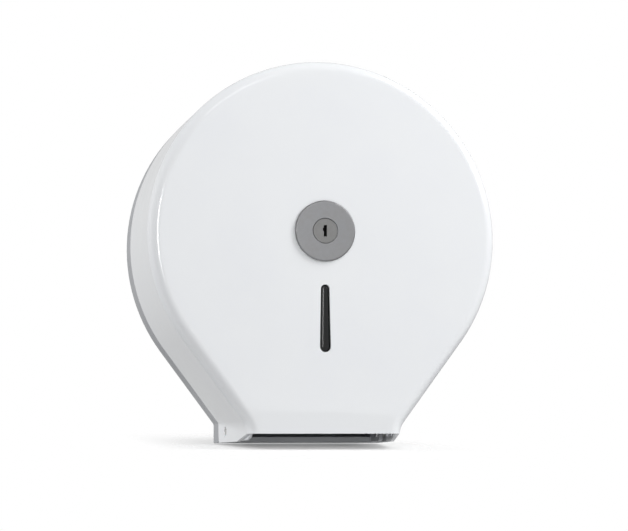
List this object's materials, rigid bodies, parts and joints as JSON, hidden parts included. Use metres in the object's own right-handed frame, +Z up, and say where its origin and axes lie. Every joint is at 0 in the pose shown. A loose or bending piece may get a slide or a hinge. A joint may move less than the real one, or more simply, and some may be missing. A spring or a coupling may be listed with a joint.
{
  "type": "jumbo toilet roll dispenser",
  "caption": "Wall-mounted jumbo toilet roll dispenser: round-headed white cover hinged at its feet, central key lock, slim level window, turning roll hub and grey tray.",
  "frame": {"origin": "middle of the four wall screw holes, on the wall plane and on the roll's axis", "axes": "+Z up, -Y out of the wall towards the user, +X to the right as the user sees it"},
  "size_m": [0.27, 0.1172, 0.2869],
  "materials": {
    "cover_abs": "injection moulded, satin gloss white",
    "tray_abs": "injection moulded, fine matt grey",
    "post_abs": "injection moulded, matt grey",
    "hub_abs": "injection moulded, satin light grey",
    "cutter_abs": "injection moulded, satin grey",
    "smoked_acrylic": "moulded, smoked",
    "satin_zinc": "die-cast, satin plated",
    "plug_zinc": "die-cast, turned face",
    "sheet_steel": "cold-rolled, brushed",
    "zinc_steel": "bright zinc plated",
    "spring_steel": "blued",
    "nylon": "moulded natural nylon",
    "felt": "pressed wool felt"
  },
  "bodies": {
    "tray": {"base_tray": "tray_abs", "spindle_post": "post_abs", "spindle_screws": "zinc_steel", "lock_keeper": "sheet_steel", "keeper_screws": "zinc_steel", "drag_washer": "felt", "thrust_washer": "nylon", "hub_circlip": "spring_steel", "hinge_pin_right": "sheet_steel", "hinge_pin_left": "sheet_steel"},
    "hub": {"roll_hub": "hub_abs", "hub_bush_rear": "nylon", "hub_bush_front": "nylon"},
    "cover": {"front_cover": "cover_abs", "hinge_bush_right": "nylon", "hinge_bush_left": "nylon", "level_window": "smoked_acrylic", "window_retainer": "tray_abs", "window_stakes": "tray_abs", "lock_escutcheon": "satin_zinc", "lock_barrel": "satin_zinc", "lock_washer": "zinc_steel", "lock_nut": "zinc_steel", "tear_cutter_right": "cutter_abs", "tear_cutter_left": "cutter_abs", "cutter_screws": "zinc_steel"},
    "key_plug": {"lock_plug": "plug_zinc", "lock_cam": "sheet_steel", "cam_screw": "zinc_steel"}
  },
  "joints": [
    {"name": "cover_hinge", "type": "hinge", "parent": "tray", "child": "cover", "pos_m": [0, -0.043, -0.14645], "axis": [1, 0, 0], "range_deg": [0, 100]},
    {"name": "hub_spin", "type": "hinge", "parent": "tray", "child": "hub", "pos_m": [0, -0.047, 0], "axis": [0, 1, 0], "continuous": true},
    {"name": "key_turn", "type": "hinge", "parent": "cover", "child": "key_plug", "pos_m": [0, -0.105, 0], "axis": [0, 1, 0], "range_deg": [0, 90]}
  ]
}
